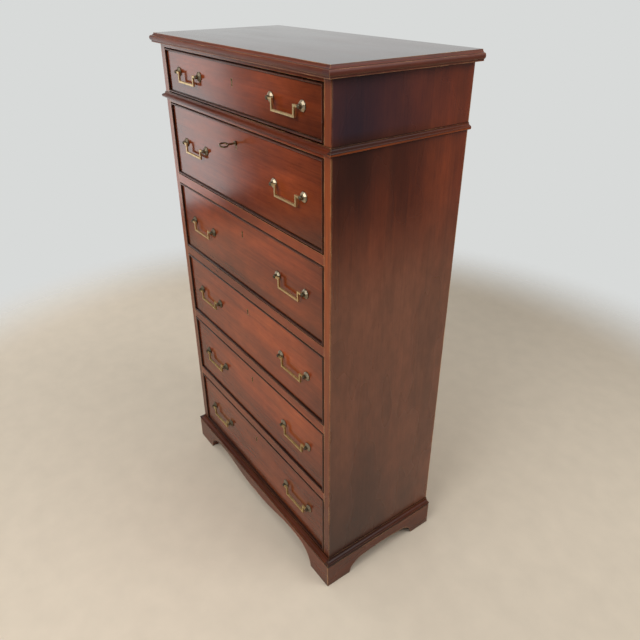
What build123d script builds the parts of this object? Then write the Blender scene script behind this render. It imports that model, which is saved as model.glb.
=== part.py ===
from build123d import *
import os

# A tall, narrow chest of six drawers in mahogany: a shallow drawer above a waist moulding and
# five equal drawers below it, on a plinth with shaped bracket feet. Millimetres, +Z up, the
# drawers face -Y, and the origin is on the floor under the middle of the whole object.

# Heights of the front, from the floor up
plinth_height = 66.0
bottom_rail_height = 16.0
lower_drawer_count = 5
lower_opening = 176.0
rail_height = 22.0
top_opening = 99.0
top_rail_height = 9.0
top_thickness = 20.0

# Carcase
carcase_width = 660.0
carcase_depth = 325.0
side_thickness = 20.0
side_arris_radius = 1.5
housing_depth = 6.0
housing_setback = 8.0
rail_depth = 50.0
runner_width = 35.0
dust_board_thickness = 6.0
dust_board_tongue = 6.0
back_thickness = 9.0
back_rebate = 10.0
back_board_count = 6
back_board_chamfer = 1.0

# Moulded edge of the top, as distances out from the carcase and down from the surface
top_flat_reach = 9.5
top_cavetto_reach = 15.2
top_bead_reach = 16.0
top_nose_reach = 18.0
top_fillet_reach = 14.5
top_cavetto_drop = 6.0
top_cavetto_sink = 1.0
top_bead_height = 10.0
top_back_overhang = 6.0

# Waist moulding, planted on the rail under the shallow drawer and along both sides
waist_height = 13.0
waist_drop = 1.0
waist_reach = 8.3
waist_nose_height = 7.5
waist_nose_round = 3.0
waist_ledge = 1.5

# Base moulding, planted above the plinth; it is as tall as the bottom rail
base_reach = 12.8
base_bead_reach = 11.0
base_cove_reach = 9.6
base_ledge = 2.0
base_quirk = 1.2
base_bead_height = 6.6

# Plinth
plinth_reach = 12.0
plinth_thickness = 20.0
front_foot_width = 72.0
front_bracket_run = 44.0
front_bracket_rise = 50.0
bracket_run_share = 0.3
bracket_rise_share = 0.63
apron_crown_inset = 41.0
apron_crown = 54.0
apron_shoulder = 43.5
apron_shoulder_share = 0.57
apron_drop = 34.0
side_foot_width = 68.0
side_bracket_run = 36.0
side_bracket_rise = 35.0
side_arch = 39.0
rear_rail_lift = 24.0
block_width = 40.0
block_lift = 4.0

# Drawers
face_setback = 3.0
front_gap = 1.8
front_thickness = 22.0
bead_width = 4.5
bead_seat = 10.0
bead_proud = 4.5
bead_chamfer = 1.6
box_side_thickness = 10.0
box_side_drop = 5.0
running_clearance = 0.3
back_clearance = 0.5
box_back_thickness = 9.0
box_back_drop = 6.0
bottom_thickness = 6.0
bottom_lift = 10.0
bottom_groove = 5.0
tail_length = 11.0
tail_pitch = 46.0
tail_share = 0.68
tail_flare = 0.18
tail_margin = 4.0

# Drawer handles
handle_offset = 195.0
handle_rise = 3.0
handle_boring = 101.0
rosette_across = 19.0
rosette_edge = 1.5
rosette_height = 4.5
rosette_bevel = 3.6
post_across = 7.6
post_chamfer = 1.5
shank_across = 4.0
pivot_offset = 8.0
post_crown = 3.2
nut_across = 10.0
nut_thickness = 3.0
bail_section = 4.0
bail_width = 75.0
bail_drop = 19.0
bail_end_gap = 0.3
bail_pin_radius = 1.3
bail_pin_clearance = 0.1

# Locks and key
keyhole_drop = 35.5
top_keyhole_drop = 33.0
keyhole_radius = 2.6
keyhole_slot_width = 2.8
keyhole_slot_drop = 12.4
lock_width = 64.0
lock_height = 52.0
lock_depth = 10.0
lock_plate = 2.0
lock_wall = 1.5
lock_case_width = 40.0
bolt_width = 18.0
bolt_thickness = 5.0
bolt_height = 21.0
bolt_throw = 7.0
bolt_sink = 2.5
bolt_clearance = 0.15
mortise_clearance = 0.5
key_shank_radius = 2.2
key_stem = 18.0
key_collar_radius = 4.2
key_collar_width = 2.5
key_collar_gap = 1.0
key_bow_length = 20.0
key_bow_width = 16.0
key_bow_band = 2.6
key_bow_thickness = 2.6
key_bit_reach = 6.8
key_bit_width = 3.6
key_bit_thickness = 1.6
key_cavity_clearance = 1.2
key_tilt = 22.0

# Half way round a quarter circle of radius 1, a point lies this far along both axes
quarter_round = 0.5 ** 0.5

# Places that the sizes above lead to
half_width = carcase_width / 2
inner_half = half_width - side_thickness
housed_half = inner_half + housing_depth
key_front = key_stem + key_bow_length - face_setback
front_y = (key_front - carcase_depth - top_back_overhang) / 2
back_y = front_y + carcase_depth
back_inner_y = back_y - back_thickness
face_y = front_y + face_setback
front_back_y = face_y + front_thickness
front_half = inner_half - front_gap
pivot_y = face_y - pivot_offset

# Each drawer opening as (bottom, top), from the top drawer down
openings = []
level = plinth_height + bottom_rail_height
for lower_drawer in range(lower_drawer_count):
    openings.insert(0, (level, level + lower_opening))
    level += lower_opening + rail_height
openings.insert(0, (level, level + top_opening))
carcase_top = openings[0][1] + top_rail_height
overall_height = carcase_top + top_thickness

# Each rail as (bottom, top): rail number n lies above drawer n and rail n + 1 below it
rails = [(openings[0][1], carcase_top)]
for opening_bottom, opening_top in openings[:-1]:
    rails.append((opening_bottom - rail_height, opening_bottom))
rails.append((plinth_height, openings[-1][0]))


def span(first, second):
    """Two places on one axis, the lower one first."""
    return (min(first, second), max(first, second))


def board(x_span, y_span, z_span, mode=Mode.ADD):
    """A square-edged board that fills three spans, each given as (low, high)."""
    spans = (x_span, y_span, z_span)
    middle = tuple((low + high) / 2 for low, high in spans)
    with Locations(middle):
        Box(*(high - low for low, high in spans), mode=mode)


def write_node(name, *pieces):
    """Label a node and write it. Pieces that share a node stay separate solids."""
    node = pieces[0] if len(pieces) == 1 else Compound(children=list(pieces))
    node.label = name
    export_step(node, f"parts/{name}.step")


def octagon(across):
    """An eight-sided outline with flats at its top, bottom and sides."""
    RegularPolygon(across / 2, 8, major_radius=False, rotation=22.5)


def cove(start, end):
    """A hollow quarter round that leaves start level and ends upright at end."""
    lean = 1 - quarter_round
    hollow = (end[0] + (start[0] - end[0]) * lean, start[1] + (end[1] - start[1]) * lean)
    ThreePointArc(start, hollow, end)


# Top

def top_edge(edge, side):
    """The moulded edge: a hollow slope, a step, a round nose and a small fillet under it."""

    def at(reach, drop):
        return (edge + side * reach, overall_height - drop)

    bead_bottom = top_cavetto_drop + top_bead_height
    hollow = at((top_flat_reach + top_cavetto_reach) / 2 - top_cavetto_sink,
                top_cavetto_drop / 2 + top_cavetto_sink)
    ThreePointArc(at(top_flat_reach, 0), hollow, at(top_cavetto_reach, top_cavetto_drop))
    Line(at(top_cavetto_reach, top_cavetto_drop), at(top_bead_reach, top_cavetto_drop))
    nose = at(top_nose_reach, (top_cavetto_drop + bead_bottom) / 2)
    ThreePointArc(at(top_bead_reach, top_cavetto_drop), nose, at(top_bead_reach, bead_bottom))
    Polyline(at(top_bead_reach, bead_bottom), at(top_fillet_reach, bead_bottom),
             at(top_fillet_reach, top_thickness))


def make_top():
    """The top board: its moulding is mitred where the front and side sections cross."""
    back_edge = back_y + top_back_overhang
    with BuildPart() as top_board:
        with BuildSketch(Plane.YZ):
            with BuildLine():
                top_edge(front_y, -1)
                Polyline((front_y - top_fillet_reach, carcase_top), (back_edge, carcase_top),
                         (back_edge, overall_height), (front_y - top_flat_reach, overall_height))
            make_face()
        extrude(amount=half_width + top_nose_reach, both=True)
        with BuildSketch(Plane.XZ):
            with BuildLine():
                top_edge(half_width, 1)
                top_edge(-half_width, -1)
                Line((-half_width - top_fillet_reach, carcase_top),
                     (half_width + top_fillet_reach, carcase_top))
                Line((-half_width - top_flat_reach, overall_height),
                     (half_width + top_flat_reach, overall_height))
            make_face()
        extrude(amount=carcase_depth, both=True, mode=Mode.INTERSECT)
    write_node("top_board", top_board.part)


# Carcase

def make_side(name, hand):
    """One side board, housed for the rails and runners and rebated for the back."""
    inner = hand * inner_half
    outer = hand * half_width
    with BuildPart() as side:
        board(span(inner, outer), (front_y, back_y), (plinth_height, carcase_top))
        front_arrises = side.edges().filter_by(Axis.Z).group_by(Axis.Y)[0].sort_by(Axis.X)
        fillet(front_arrises[-1] if hand > 0 else front_arrises[0], side_arris_radius)
        for low, high in rails:
            board(span(inner, hand * housed_half), (front_y + housing_setback, back_inner_y),
                  (low, high), Mode.SUBTRACT)
        board(span(inner, inner + hand * back_rebate), (back_inner_y, back_y),
              (plinth_height, carcase_top), Mode.SUBTRACT)
    write_node(name, side.part)


def make_back():
    """Upright back boards with eased joints, lying in the rebates of the sides."""
    back_half = inner_half + back_rebate
    board_width = 2 * back_half / back_board_count
    boards = []
    for number in range(back_board_count):
        left = -back_half + number * board_width
        with BuildPart() as back_board:
            board((left, left + board_width), (back_inner_y, back_y), (plinth_height, carcase_top))
            joints = back_board.edges().filter_by(Axis.Z).group_by(Axis.Y)[-1]
            chamfer(joints, back_board_chamfer)
        boards.append(back_board.part)
    write_node("back_boards", *boards)


def make_rails():
    """The rails between the drawers, stub-tenoned into the sides, with mortises for the bolts."""
    bolt_y = front_back_y - lock_plate - bolt_clearance
    mortise_half = bolt_width / 2 + mortise_clearance
    pieces = []
    for number, (low, high) in enumerate(rails):
        middle = (low + high) / 2
        with BuildPart() as rail:
            board((-inner_half, inner_half), (front_y, front_y + rail_depth), (low, high))
            board((-housed_half, housed_half), (front_y + housing_setback, front_y + rail_depth),
                  (low, high))
            if number < len(openings):
                board((-mortise_half, mortise_half),
                      (bolt_y - bolt_thickness - mortise_clearance, bolt_y + mortise_clearance),
                      (low, low + bolt_throw - front_gap + mortise_clearance), Mode.SUBTRACT)
            if number > 0:
                board((-housed_half, housed_half),
                      (front_y + rail_depth - dust_board_tongue, front_y + rail_depth),
                      (middle - dust_board_thickness / 2, middle + dust_board_thickness / 2),
                      Mode.SUBTRACT)
        pieces.append(rail.part)
    write_node("drawer_rails", *pieces)


def make_runners():
    """Runners at both sides behind each rail; those behind the top rail are the kickers."""
    inner_edge = inner_half - runner_width
    pieces = []
    for number, (low, high) in enumerate(rails):
        middle = (low + high) / 2
        with BuildPart() as pair:
            board((inner_edge, housed_half), (front_y + rail_depth, back_inner_y), (low, high))
            if number > 0:
                board((inner_edge, inner_edge + dust_board_tongue),
                      (front_y + rail_depth, back_inner_y),
                      (middle - dust_board_thickness / 2, middle + dust_board_thickness / 2),
                      Mode.SUBTRACT)
            mirror(about=Plane.YZ)
        pieces.extend(pair.solids())
    write_node("drawer_runners", *pieces)


def make_dust_boards():
    """A thin board at each level, tongued into the rail in front and the runners beside it."""
    board_half = inner_half - runner_width + dust_board_tongue
    pieces = []
    for low, high in rails[1:]:
        middle = (low + high) / 2
        with BuildPart() as dust_board:
            board((-board_half, board_half),
                  (front_y + rail_depth - dust_board_tongue, back_inner_y),
                  (middle - dust_board_thickness / 2, middle + dust_board_thickness / 2))
        pieces.append(dust_board.part)
    write_node("dust_boards", *pieces)


# Mouldings and plinth: lengths run round the front and both sides, mitred at the front corners

right_mitre = Plane(origin=(half_width, front_y, 0), z_dir=(1, 1, 0))
left_mitre = Plane(origin=(-half_width, front_y, 0), z_dir=(-1, 1, 0))
front_section = Plane(origin=(0, front_y, 0), x_dir=(0, -1, 0), z_dir=(-1, 0, 0))
side_section = Plane(origin=(half_width, back_y, 0), x_dir=(1, 0, 0), z_dir=(0, -1, 0))


def waist_profile():
    """A rounded nose with a hollow above it, drawn out from the carcase face."""
    top = openings[0][0] - waist_drop
    bottom = top - waist_height
    nose_top = bottom + waist_nose_height
    shoulder = waist_reach - waist_nose_round
    Polyline((waist_ledge, top), (0, top), (0, bottom), (shoulder, bottom))
    ThreePointArc((shoulder, bottom), (waist_reach, (bottom + nose_top) / 2), (shoulder, nose_top))
    cove((shoulder, nose_top), (waist_ledge, top))


def base_profile():
    """A hollow above a bead, with a quirk between the bead and the plinth."""
    top = openings[-1][0]
    bead_bottom = plinth_height + base_quirk
    bead_top = bead_bottom + base_bead_height
    Polyline((base_ledge, top), (0, top), (0, plinth_height), (base_bead_reach, plinth_height),
             (base_bead_reach, bead_bottom))
    ThreePointArc((base_bead_reach, bead_bottom), (base_reach, (bead_bottom + bead_top) / 2),
                  (base_bead_reach, bead_top))
    Line((base_bead_reach, bead_top), (base_cove_reach, bead_top))
    cove((base_cove_reach, bead_top), (base_ledge, top))


def make_moulding(name, draw_profile, reach):
    """One moulding in three lengths."""
    with BuildPart() as front_length:
        with BuildSketch(front_section):
            with BuildLine():
                draw_profile()
            make_face()
        extrude(amount=half_width + reach, both=True)
        split(bisect_by=right_mitre, keep=Keep.BOTTOM)
        split(bisect_by=left_mitre, keep=Keep.BOTTOM)
    with BuildPart() as side_lengths:
        with BuildSketch(side_section):
            with BuildLine():
                draw_profile()
            make_face()
        extrude(amount=carcase_depth + reach)
        split(bisect_by=right_mitre, keep=Keep.TOP)
        mirror(about=Plane.YZ)
    write_node(name, front_length.part, *side_lengths.solids())


def make_plinth():
    """The plinth: a front board with a serpentine apron, two side boards and a rear rail."""
    corner = half_width + plinth_reach
    seat = plinth_thickness - plinth_reach
    foot = corner - front_foot_width
    bracket = foot - front_bracket_run
    crown = bracket - apron_crown_inset
    with BuildPart() as front_board:
        with BuildSketch(Plane.XZ.offset(-(front_y - plinth_reach))):
            with BuildLine():
                Polyline((0, plinth_height), (corner, plinth_height), (corner, 0), (foot, 0))
                ThreePointArc((foot, 0),
                              (foot - bracket_run_share * front_bracket_run,
                               bracket_rise_share * front_bracket_rise),
                              (bracket, front_bracket_rise))
                Spline((bracket, front_bracket_rise), (crown, apron_crown),
                       (apron_shoulder_share * crown, apron_shoulder), (0, apron_drop),
                       tangents=((-1, 0.2), (-1, 0)))
                mirror(about=Plane.YZ)
            make_face()
        extrude(amount=-plinth_thickness)
        split(bisect_by=right_mitre, keep=Keep.BOTTOM)
        split(bisect_by=left_mitre, keep=Keep.BOTTOM)
    front_foot = front_y - plinth_reach + side_foot_width
    rear_foot = back_y - side_foot_width + seat
    arch_start = front_foot + side_bracket_run
    arch_end = rear_foot - side_bracket_run
    bulge_run = bracket_run_share * side_bracket_run
    bulge_rise = bracket_rise_share * side_bracket_rise
    with BuildPart() as side_boards:
        with BuildSketch(Plane.YZ.offset(corner)):
            with BuildLine():
                Polyline((front_foot, 0), (front_y - plinth_reach, 0),
                         (front_y - plinth_reach, plinth_height), (back_y, plinth_height),
                         (back_y, 0), (rear_foot, 0))
                ThreePointArc((front_foot, 0), (front_foot + bulge_run, bulge_rise),
                              (arch_start, side_bracket_rise))
                ThreePointArc((arch_start, side_bracket_rise),
                              ((arch_start + arch_end) / 2, side_arch), (arch_end, side_bracket_rise))
                ThreePointArc((arch_end, side_bracket_rise),
                              (rear_foot - bulge_run, bulge_rise), (rear_foot, 0))
            make_face()
        extrude(amount=-plinth_thickness)
        split(bisect_by=right_mitre, keep=Keep.TOP)
        mirror(about=Plane.YZ)
    with BuildPart() as rear_rail:
        board((-half_width + seat, half_width - seat), (back_y - plinth_thickness, back_y),
              (rear_rail_lift, plinth_height))
    write_node("plinth", front_board.part, *side_boards.solids(), rear_rail.part)
    inside = half_width - seat
    blocks = []
    for hand in (-1, 1):
        across = span(hand * inside, hand * (inside - block_width))
        for near in (front_y + seat, back_y - plinth_thickness - block_width):
            with BuildPart() as block:
                board(across, (near, near + block_width), (block_lift, plinth_height))
                bare_corner = block.edges().filter_by(Axis.Z).sort_by_distance(
                    (0, (front_y + back_y) / 2, plinth_height))[0]
                chamfer(bare_corner, block_width / 3)
            blocks.append(block.part)
    write_node("corner_blocks", *blocks)


# Locks and key

def lock_blank(edge):
    """The outside of a lock whose top plate is level with the edge of the drawer front."""
    low = edge - lock_height
    near = front_back_y - lock_depth
    with BuildPart() as blank:
        board((-lock_case_width / 2, lock_case_width / 2), (near, front_back_y), (low, edge))
        board((-lock_width / 2, lock_width / 2), (front_back_y - lock_plate, front_back_y), (low, edge))
        board((-lock_width / 2, lock_width / 2), (near, front_back_y), (edge - lock_plate, edge))
    return blank.part


def keyhole(eye):
    """The outline of a keyhole: an eye with a slot below it."""
    with BuildSketch(Plane.XZ.offset(-face_y)) as outline:
        with Locations((0, eye)):
            octagon(2 * keyhole_radius)
        with Locations((0, eye - keyhole_slot_drop / 2)):
            Rectangle(keyhole_slot_width, keyhole_slot_drop)
    return outline.sketch


def make_lock(name, edge, eye):
    """A drawer lock with room for the key to turn and a slot for its bolt."""
    wall_y = front_back_y - lock_depth + lock_wall
    plate_y = front_back_y - lock_plate
    bolt_half = bolt_width / 2 + bolt_clearance
    key_room = 2 * (key_bit_reach + key_cavity_clearance)
    with BuildPart() as lock:
        add(lock_blank(edge))
        with BuildSketch(Plane.XZ.offset(-plate_y)):
            with Locations((0, eye)):
                Rectangle(key_room, key_room)
        extrude(amount=plate_y - wall_y, mode=Mode.SUBTRACT)
        extrude(keyhole(eye), amount=-(wall_y - face_y), mode=Mode.SUBTRACT)
        board((-bolt_half, bolt_half),
              (plate_y - bolt_thickness - 2 * bolt_clearance, plate_y),
              (edge - bolt_height - bolt_sink - bolt_clearance, edge), Mode.SUBTRACT)
    write_node(f"{name}_lock", lock.part)
    bolt_back = plate_y - bolt_clearance
    with BuildPart() as bolt:
        board((-bolt_width / 2, bolt_width / 2), (bolt_back - bolt_thickness, bolt_back),
              (edge - bolt_height, edge))
        chamfer(bolt.edges().group_by(Axis.Z)[-1].filter_by(Axis.X), bolt_thickness / 5)
    write_node(f"{name}_lock_bolt", bolt.part)


def make_key(edge):
    """A small key with an oval bow, its bow tilted a little from level in its lock."""
    eye = edge - keyhole_drop
    bow_y = face_y - key_stem - key_bow_length / 2
    bit_y = front_back_y - lock_depth + lock_wall + key_bit_width
    shank_end = face_y - key_stem - key_bow_band / 2
    collar_y = face_y - key_collar_gap
    with BuildPart() as key:
        with BuildSketch(Plane.XZ.offset(-(bit_y + key_cavity_clearance))):
            with Locations((0, eye)):
                Circle(key_shank_radius)
        extrude(amount=bit_y + key_cavity_clearance - shank_end)
        with BuildSketch(Plane.XZ.offset(-collar_y)):
            with Locations((0, eye)):
                octagon(2 * key_collar_radius)
        extrude(amount=key_collar_width)
        with BuildSketch(Plane.XY.offset(eye - key_bow_thickness / 2)):
            with Locations((0, bow_y)):
                SlotOverall(key_bow_length, key_bow_width, rotation=90)
                SlotOverall(key_bow_length - 2 * key_bow_band, key_bow_width - 2 * key_bow_band,
                            rotation=90, mode=Mode.SUBTRACT)
        extrude(amount=key_bow_thickness)
        board((0, key_bit_reach), (bit_y - key_bit_width / 2, bit_y + key_bit_width / 2),
              (eye - key_bit_thickness / 2, eye + key_bit_thickness / 2))
    write_node("key", key.part.rotate(Axis((0, face_y, eye), (0, 1, 0)), key_tilt))


# Handles

def make_post():
    """One handle post: a square shank and an eight-sided head, drilled across for the bail."""
    head = pivot_offset + post_crown
    tail = front_thickness + nut_thickness
    with BuildPart() as post:
        with BuildSketch(Plane.XZ.offset(-tail)):
            Rectangle(shank_across, shank_across)
        extrude(amount=tail + rosette_height)
        with BuildSketch(Plane.XZ.offset(rosette_height)):
            octagon(post_across)
        extrude(amount=head - rosette_height)
        chamfer(post.edges().group_by(Axis.Y)[0], post_chamfer)
        with BuildSketch(Plane.YZ):
            with Locations((-pivot_offset, 0)):
                octagon(2 * (bail_pin_radius + bail_pin_clearance))
        extrude(amount=post_across, both=True, mode=Mode.SUBTRACT)
    return post.part


def make_rosette():
    """The eight-sided plate behind a post, bevelled towards its middle."""
    with BuildPart() as rosette:
        with BuildSketch(Plane.XZ):
            octagon(rosette_across)
        extrude(amount=rosette_height)
        crown = rosette.faces().sort_by(Axis.Y)[0]
        chamfer(crown.edges(), rosette_bevel, rosette_height - rosette_edge, reference=crown)
        with BuildSketch(Plane.XZ):
            Rectangle(shank_across, shank_across)
        extrude(amount=rosette_height, mode=Mode.SUBTRACT)
    return rosette.part


def make_nut():
    """The square nut that draws a post tight from inside the drawer."""
    with BuildPart() as nut:
        with BuildSketch(Plane.XZ.offset(-front_thickness)):
            Rectangle(nut_across, nut_across)
            Rectangle(shank_across, shank_across, mode=Mode.SUBTRACT)
        extrude(amount=-nut_thickness)
    return nut.part


def make_bail():
    """An angular swan-neck bail about its own pivot line: ears, arms and grip in one flat bend."""
    half = bail_section / 2
    arm = (bail_width - bail_section) / 2
    ear_end = (handle_boring - post_across) / 2 - bail_end_gap
    with BuildPart() as bail:
        with BuildSketch(Plane.XZ.offset(-half)):
            with BuildLine():
                Polyline((0, -bail_drop - half), (arm + half, -bail_drop - half), (arm + half, -half),
                         (ear_end, -half), (ear_end, half), (arm - half, half),
                         (arm - half, -bail_drop + half), (0, -bail_drop + half))
                mirror(about=Plane.YZ)
            make_face()
        extrude(amount=bail_section)
        pin_length = (handle_boring + post_across) / 2 - ear_end
        with BuildSketch(Plane.YZ.offset(ear_end), Plane.YZ.offset(-ear_end - pin_length)):
            RegularPolygon(bail_pin_radius, 8, rotation=22.5)
        extrude(amount=pin_length)
    return bail.part


post_pattern = make_post()
rosette_pattern = make_rosette()
nut_pattern = make_nut()
bail_pattern = make_bail()


def make_handles(name, height):
    """Two handles on one drawer: four posts with rosettes and nuts, and two bails."""
    places = []
    for hand in (-1, 1):
        for end in (-1, 1):
            places.append((hand * handle_offset + end * handle_boring / 2, face_y, height))
    fittings = []
    for pattern in (post_pattern, rosette_pattern, nut_pattern):
        with BuildPart() as copies:
            with Locations(*places):
                add(pattern)
        fittings.extend(copies.solids())
    write_node(f"{name}_handle_posts", *fittings)
    for word, hand in (("left", -1), ("right", 1)):
        with BuildPart() as bail:
            with Locations((hand * handle_offset, pivot_y, height)):
                add(bail_pattern)
        write_node(f"{name}_bail_{word}", bail.part)
    return places


# Drawers

def tails(x, y_root, y_tip, low, high):
    """The dovetails at one end of a drawer side, as outlines on a plane at x."""
    count = max(2, round((high - low) / tail_pitch))
    pitch = (high - low) / count
    tip_half = tail_share * pitch / 2
    root_half = tip_half - tail_flare * abs(y_tip - y_root)
    with BuildSketch(Plane.YZ.offset(x)) as outlines:
        for number in range(count):
            middle = low + (number + 0.5) * pitch
            with BuildLine():
                Polyline((y_root, middle - root_half), (y_tip, middle - tip_half),
                         (y_tip, middle + tip_half), (y_root, middle + root_half), close=True)
            make_face()
    return outlines.sketch


def make_bead(name, low, high):
    """The cock bead: four mitred strips with an eased nose, let into the edge of the front."""
    outer = [(-front_half, low), (front_half, low), (front_half, high), (-front_half, high)]
    inner_x = front_half - bead_width
    inner = [(-inner_x, low + bead_width), (inner_x, low + bead_width),
             (inner_x, high - bead_width), (-inner_x, high - bead_width)]
    strips = []
    for number in range(4):
        after = (number + 1) % 4
        with BuildPart() as strip:
            with BuildSketch(Plane.XZ.offset(-(face_y + bead_seat))):
                with BuildLine():
                    Polyline(outer[number], outer[after], inner[after], inner[number], close=True)
                make_face()
            extrude(amount=bead_seat + bead_proud)
            nose = strip.edges().group_by(Axis.Y)[0].sort_by(SortBy.LENGTH)[-2:]
            chamfer(nose, bead_chamfer)
        strips.append(strip.part)
    write_node(f"{name}_cock_bead", *strips)


def make_drawer(name, bottom, top):
    """One drawer: a beaded front, a dovetailed box, its lock and its handles."""
    low = bottom + front_gap
    high = top - front_gap
    side_low = bottom + running_clearance
    side_high = high - box_side_drop
    groove_low = side_low + bottom_lift
    groove_high = groove_low + bottom_thickness
    back_high = side_high - box_back_drop
    box_end_y = back_inner_y - back_clearance
    box_back_y = box_end_y - box_back_thickness
    inside_half = front_half - box_side_thickness
    bottom_half = inside_half + bottom_groove
    tail_low = groove_high + tail_margin
    front_corner = (front_back_y, front_back_y - tail_length, tail_low, side_high - tail_margin)
    rear_corner = (box_back_y, box_end_y, tail_low, back_high - tail_margin)
    handle_z = (low + high) / 2 + handle_rise

    make_bead(name, low, high)
    eye = high - (top_keyhole_drop if name == "drawer_1" else keyhole_drop)
    make_lock(name, high, eye)
    post_places = make_handles(name, handle_z)

    with BuildPart() as front:
        panel_half = front_half - bead_width
        board((-front_half, front_half), (face_y + bead_seat, front_back_y), (low, high))
        board((-panel_half, panel_half), (face_y, face_y + bead_seat), (low + bead_width, high - bead_width))
        for hand in (-1, 1):
            extrude(tails(hand * front_half, *front_corner), amount=-hand * box_side_thickness,
                    mode=Mode.SUBTRACT)
        board((-bottom_half, bottom_half), (front_back_y - bottom_groove, front_back_y),
              (groove_low, groove_high), Mode.SUBTRACT)
        add(lock_blank(high), mode=Mode.SUBTRACT)
        extrude(keyhole(eye), amount=-front_thickness / 2 - lock_wall, mode=Mode.SUBTRACT)
        with BuildSketch(Plane.XZ.offset(-face_y)):
            with Locations(*[(x, z) for x, y, z in post_places]):
                Rectangle(shank_across, shank_across)
        extrude(amount=-front_thickness, mode=Mode.SUBTRACT)
    write_node(f"{name}_front", front.part)

    box = []
    for hand in (-1, 1):
        with BuildPart() as box_side:
            board(span(hand * inside_half, hand * front_half), (front_back_y, box_back_y),
                  (side_low, side_high))
            board(span(hand * inside_half, hand * front_half), (box_back_y, box_end_y),
                  (side_low, groove_high))
            for corner in (front_corner, rear_corner):
                extrude(tails(hand * front_half, *corner), amount=-hand * box_side_thickness)
            board(span(hand * inside_half, hand * bottom_half), (front_back_y, box_end_y),
                  (groove_low, groove_high), Mode.SUBTRACT)
        box.append(box_side.part)
    with BuildPart() as box_back:
        board((-front_half, front_half), (box_back_y, box_end_y), (groove_high, back_high))
        for hand in (-1, 1):
            extrude(tails(hand * front_half, *rear_corner), amount=-hand * box_side_thickness,
                    mode=Mode.SUBTRACT)
    with BuildPart() as box_bottom:
        board((-bottom_half, bottom_half), (front_back_y - bottom_groove, box_end_y),
              (groove_low, groove_high))
    write_node(f"{name}_box", *box, box_back.part, box_bottom.part)


os.makedirs("parts", exist_ok=True)
make_top()
make_side("left_side", -1)
make_side("right_side", 1)
make_back()
make_rails()
make_runners()
make_dust_boards()
make_moulding("waist_moulding", waist_profile, waist_reach)
make_moulding("base_moulding", base_profile, base_reach)
make_plinth()
for drawer_number, (drawer_bottom, drawer_top) in enumerate(openings, start=1):
    make_drawer(f"drawer_{drawer_number}", drawer_bottom, drawer_top)
second_top = openings[1][1]
make_key(second_top - front_gap)
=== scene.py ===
import math
from types import SimpleNamespace

import bmesh
import bpy
from mathutils import Matrix, Vector


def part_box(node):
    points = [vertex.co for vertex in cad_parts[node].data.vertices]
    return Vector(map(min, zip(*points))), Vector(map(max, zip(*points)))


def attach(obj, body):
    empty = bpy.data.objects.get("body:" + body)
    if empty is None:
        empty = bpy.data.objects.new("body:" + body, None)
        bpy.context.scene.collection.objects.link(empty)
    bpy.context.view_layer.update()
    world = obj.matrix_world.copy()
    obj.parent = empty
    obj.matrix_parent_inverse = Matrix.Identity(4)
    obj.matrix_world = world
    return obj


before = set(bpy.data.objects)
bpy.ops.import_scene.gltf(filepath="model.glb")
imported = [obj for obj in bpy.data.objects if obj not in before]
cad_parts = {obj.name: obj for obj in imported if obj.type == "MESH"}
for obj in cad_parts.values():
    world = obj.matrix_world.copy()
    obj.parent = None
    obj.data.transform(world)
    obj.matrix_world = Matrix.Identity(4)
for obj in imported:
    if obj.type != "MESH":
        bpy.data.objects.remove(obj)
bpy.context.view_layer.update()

bl_info = {
    "name": "Tall chest of drawers",
    "version": (1, 0, 0),
    "blender": (4, 5, 0),
    "location": "3D View > Sidebar > Chest",
    "description": "Finishes, fittings and a studio stage for a tall mahogany chest of drawers",
    "category": "Object",
}

# Lengths are metres, in the frame of the CAD model; MM turns millimetres into them.
MM = 0.001
DRAWERS = ["drawer_%d" % number for number in range(1, 7)]
HANDS = ("left", "right")
GRAIN_AXES = {"along_x": 0, "along_y": 1, "along_z": 2}
# below the first angle two faces are one flat face, and above the second they meet at an edge
FLAT_ANGLE, SHARP_ANGLE = math.radians(1), math.radians(25)
SIDE_LOW, SIDE_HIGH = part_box("right_side")
CARCASE_HALF = SIDE_HIGH[0]
CARCASE_FRONT = SIDE_LOW[1]
# the outsides start here, just inside the faces of the side boards
OUTSIDE = CARCASE_HALF - 0.5 * MM
# the rubbed fillet under the waist moulding ends here, and shows these shares of bare wood
WAIST_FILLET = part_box("waist_moulding")[0][2] + 4 * MM
RUBBED_SHARE = (0.3, 0.7)
# the handle posts stand out of their rosettes here, and are black as painted shade within a short
# reach
POST_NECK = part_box("drawer_1_front")[0][1] - 4.8 * MM
NECK_REACH = 1 * MM

# A face looks forward or back where that part of its normal passes FACING, and the flat of the top
# is what looks upwards past FLAT; its moulded edge is what looks less far up than MOULDED.
FACING, FLAT, MOULDED = 0.7, 0.99, 0.8

# Keyholes: how far their eyes lie below the top of a front, and their sizes
KEYHOLE_DROP, TOP_KEYHOLE_DROP = 35.5 * MM, 33 * MM
KEYHOLE_EYE, KEYHOLE_HALF, KEYHOLE_SLOT = 2.6 * MM, 1.4 * MM, 12.4 * MM
LINER_PROUD, LINER_SUNK = 0.25 * MM, 2 * MM
EYE_STEPS, SLOT_STEPS = 16, 8

# Lock screws
SCREW_INSET, SCREW_SLOT, SCREW_RISE = 5 * MM, 0.5 * MM, 0.5 * MM
SCREW_TAPER, SCREW_STEPS = 0.9, 10

# Nails of the back: the boards, the places across a board, and the distances from its ends
BACK_BOARDS, NAIL_PLACES = 6, (0.2, 0.8)
NAIL_ABOVE_FOOT, NAIL_BELOW_TOP = 8 * MM, 5 * MM
NAIL_RISE, NAIL_DEPTH, NAIL_TAPER, NAIL_SEGMENTS = 0.2 * MM, 0.8 * MM, 0.7, 10

# Each drawer front is its own board, some redder and paler than others.
FRONT_TONES = (1.02, 1.05, 1.18, 1.42, 1.38, 1.0)
FRONT_GLOSS = (0.13, 0.2)
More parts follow.
